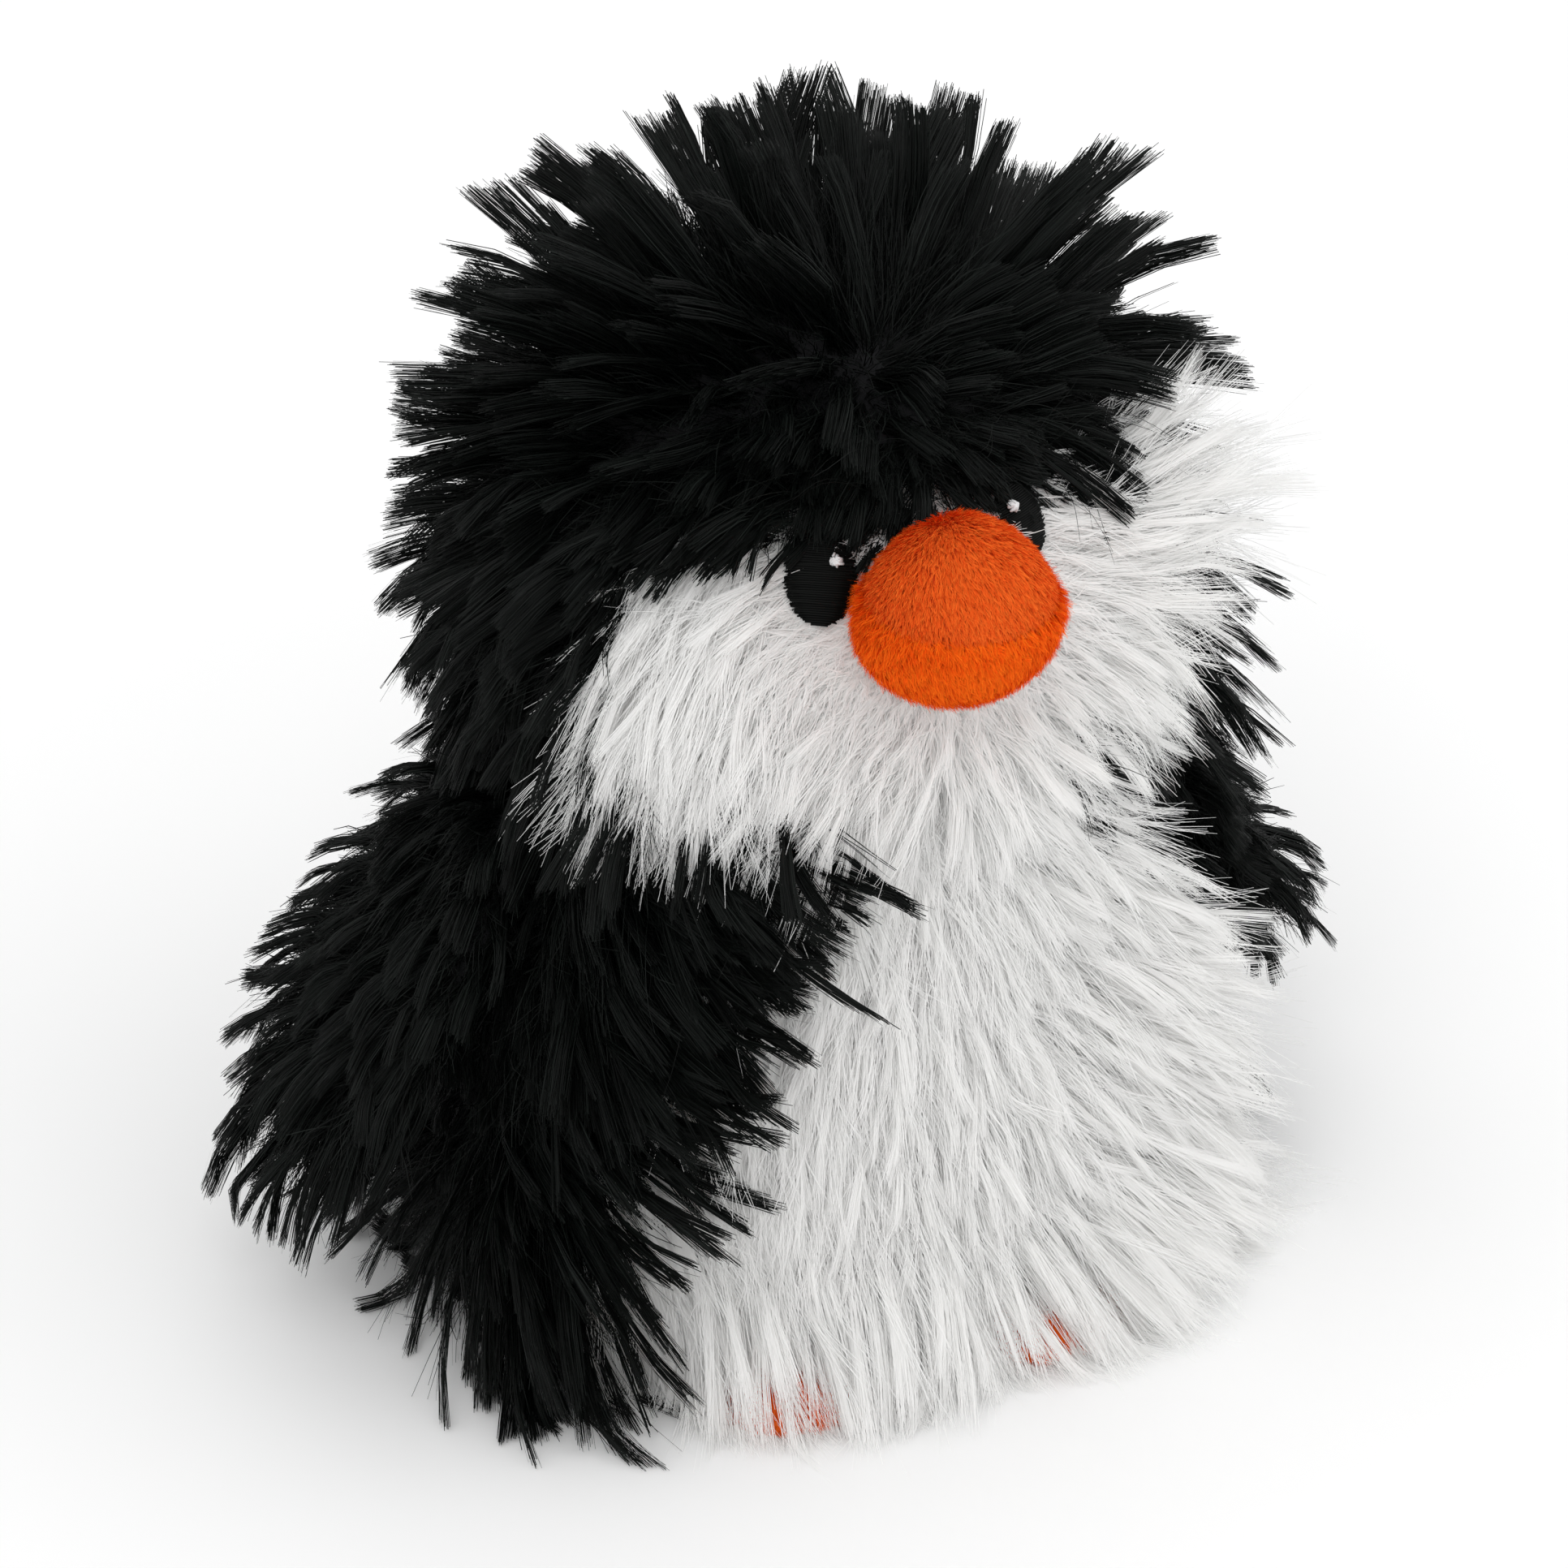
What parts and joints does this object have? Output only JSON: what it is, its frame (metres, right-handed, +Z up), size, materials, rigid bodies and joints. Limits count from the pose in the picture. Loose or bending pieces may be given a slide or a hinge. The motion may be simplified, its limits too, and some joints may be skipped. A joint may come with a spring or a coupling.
{
  "type": "plush penguin",
  "caption": "Shaggy plush penguin that stands on a flat base, with a hooded head, a rounded orange beak, sewn-on flippers that lift and small stuffed feet.",
  "frame": {"origin": "middle of the footprint, on the surface that the toy stands on", "axes": "+Z up, the penguin looks along -Y, its left side at +X"},
  "size_m": [0.1712, 0.124, 0.1788],
  "materials": {
    "black_fur": "long shaggy pile, soft sheen",
    "white_fur": "long shaggy pile, soft sheen",
    "orange_plush": "short dense pile",
    "black_thread": "satin stitch",
    "white_thread": "satin stitch",
    "base_fabric": "short knitted plush",
    "fibre_filling": "loose polyester fibre"
  },
  "bodies": {
    "torso": {"body_stuffing": "fibre_filling", "base_panel": "base_fabric", "hood_panel": "black_fur", "cheek_panel_right": "white_fur", "cheek_panel_left": "white_fur", "belly_panel": "white_fur", "back_panel_right": "black_fur", "back_panel_left": "black_fur", "beak_upper_panel": "orange_plush", "beak_lower_panel": "orange_plush", "beak_stuffing": "fibre_filling", "eye_right": "black_thread", "eye_left": "black_thread", "eye_glint_right": "white_thread", "eye_glint_left": "white_thread"},
    "flipper_right": {"flipper_outer_panel_right": "black_fur", "flipper_inner_panel_right": "black_fur", "flipper_stuffing_right": "fibre_filling"},
    "foot_right": {"foot_upper_panel_right": "orange_plush", "foot_sole_right": "orange_plush", "foot_stuffing_right": "fibre_filling"},
    "flipper_left": {"flipper_outer_panel_left": "black_fur", "flipper_inner_panel_left": "black_fur", "flipper_stuffing_left": "fibre_filling"},
    "foot_left": {"foot_upper_panel_left": "orange_plush", "foot_sole_left": "orange_plush", "foot_stuffing_left": "fibre_filling"}
  },
  "joints": [
    {"name": "flipper_hinge_right", "type": "hinge", "parent": "torso", "child": "flipper_right", "pos_m": [-0.0535, 0.01, 0.092], "axis": [0, 1, 0], "range_deg": [0, 60], "stiffness_Nm_per_rad": 0.012},
    {"name": "flipper_hinge_left", "type": "hinge", "parent": "torso", "child": "flipper_left", "pos_m": [0.0535, 0.01, 0.092], "axis": [0, -1, 0], "range_deg": [0, 60], "stiffness_Nm_per_rad": 0.012},
    {"name": "foot_seam_right", "type": "hinge", "parent": "torso", "child": "foot_right", "pos_m": [-0.0225, -0.0385, 0.008], "axis": [-1, 0, 0], "range_deg": [0, 20], "stiffness_Nm_per_rad": 0.01},
    {"name": "foot_seam_left", "type": "hinge", "parent": "torso", "child": "foot_left", "pos_m": [0.0225, -0.0385, 0.008], "axis": [-1, 0, 0], "range_deg": [0, 20], "stiffness_Nm_per_rad": 0.01}
  ]
}
